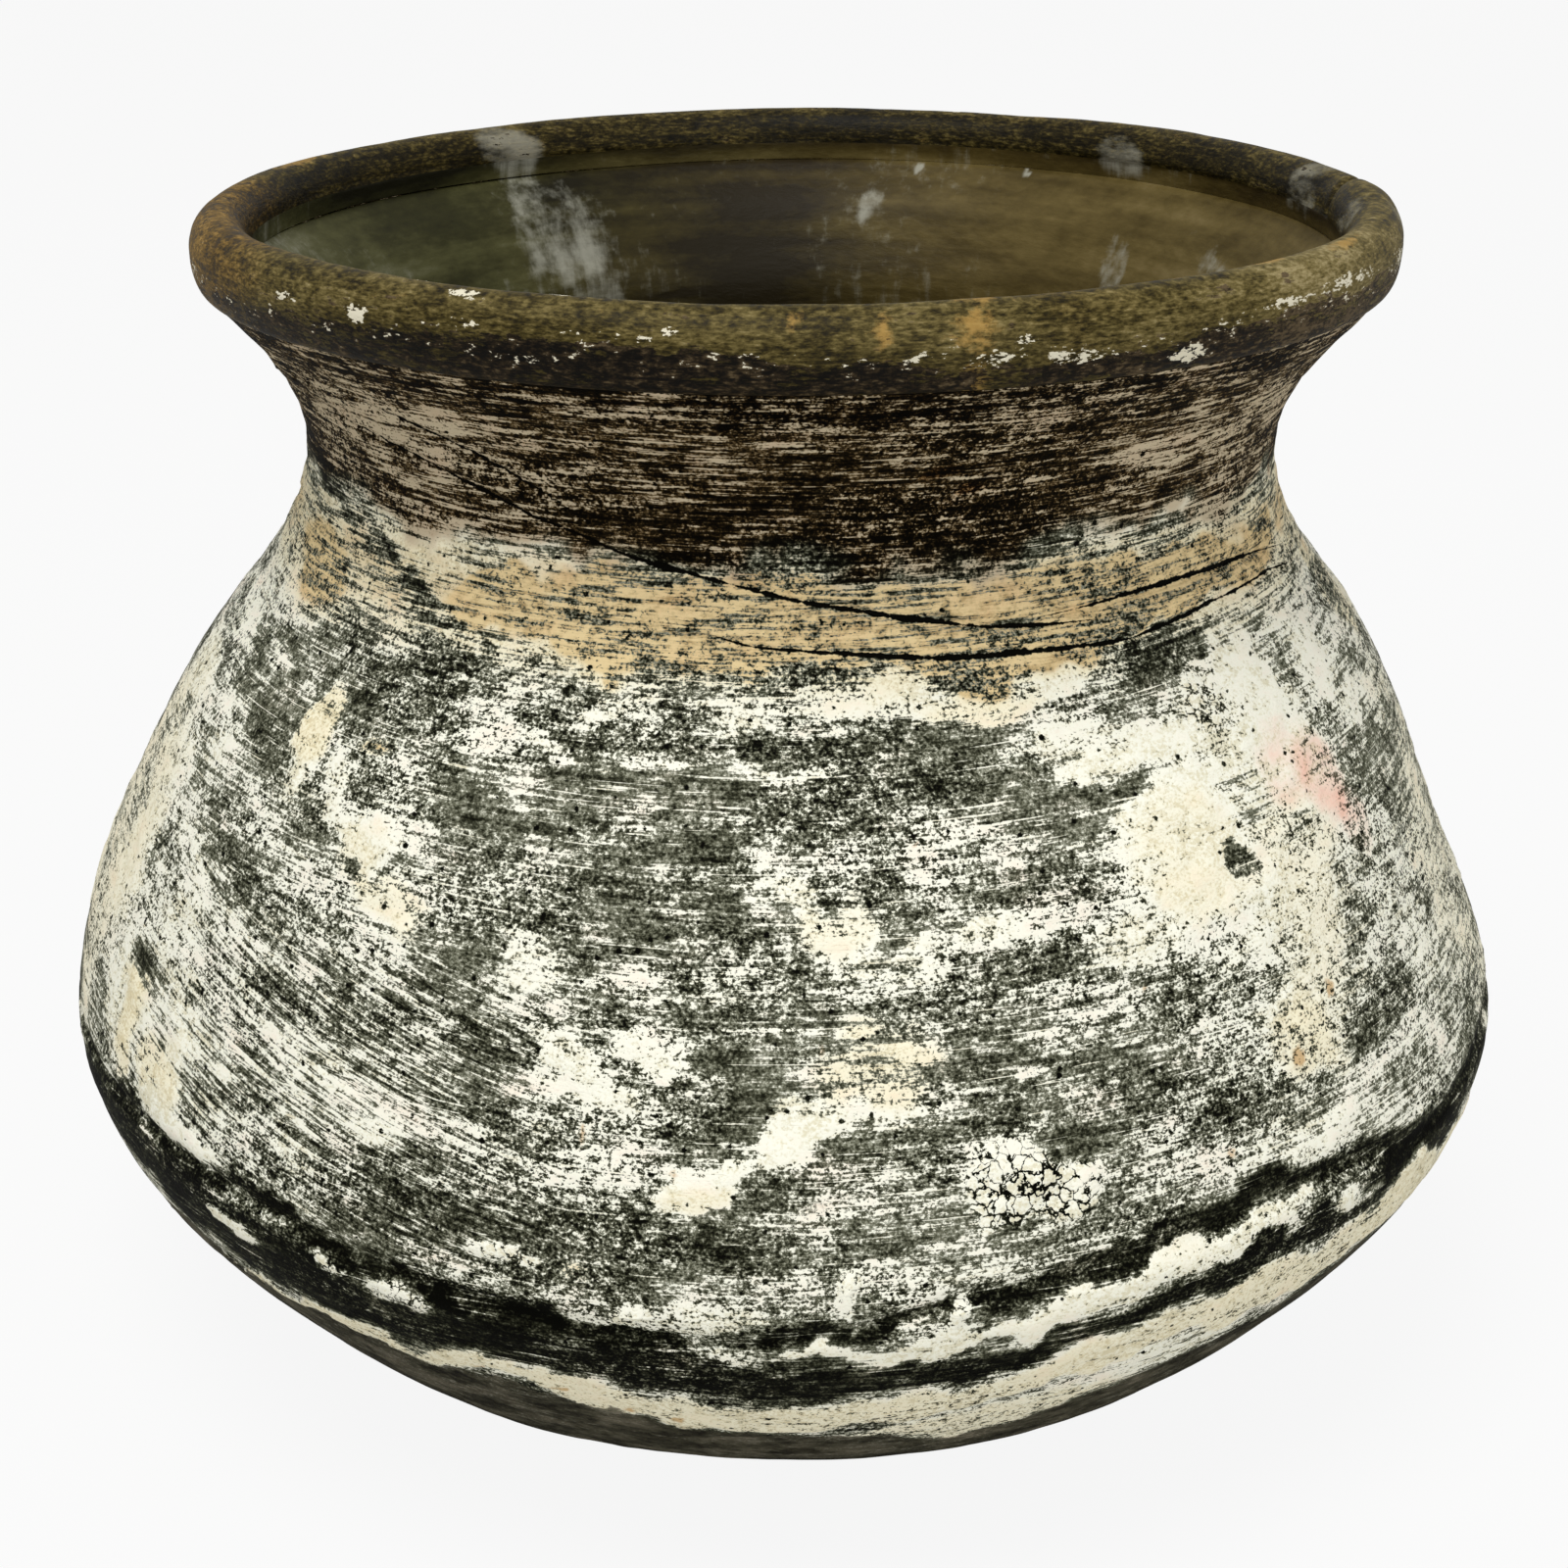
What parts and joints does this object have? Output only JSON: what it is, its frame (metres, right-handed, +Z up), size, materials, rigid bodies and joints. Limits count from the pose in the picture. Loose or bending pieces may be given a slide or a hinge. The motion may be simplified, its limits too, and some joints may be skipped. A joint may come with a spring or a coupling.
{
  "type": "wide-mouthed pottery pot",
  "caption": "Limewashed earthenware pot with a round belly, drawn-in neck and flaring mouth with a rolled rim; stands on a flattened base and holds things put in from above.",
  "frame": {"origin": "centre of the flattened resting spot, on the surface that the pot stands on", "axes": "+Z up along the pot's upright axis, out of the mouth; -Y towards the side that the picture shows; +X to its right, where the rim's coil laps over its own end"},
  "size_m": [0.1796, 0.1796, 0.1413],
  "materials": {
    "base_clay": "matt charcoal earthenware with worn cream limewash, rough",
    "wall_clay": "matt charcoal earthenware under speckled cream limewash, rough",
    "collar_clay": "matt purplish brown earthenware, wiped, with soot and thin lime streaks",
    "rim_clay": "olive brown earthenware, burnished to a low sheen by handling"
  },
  "bodies": {
    "root": {"base_bowl": "base_clay", "body_wall": "wall_clay", "neck_collar": "collar_clay", "rim_roll": "rim_clay"}
  },
  "joints": []
}
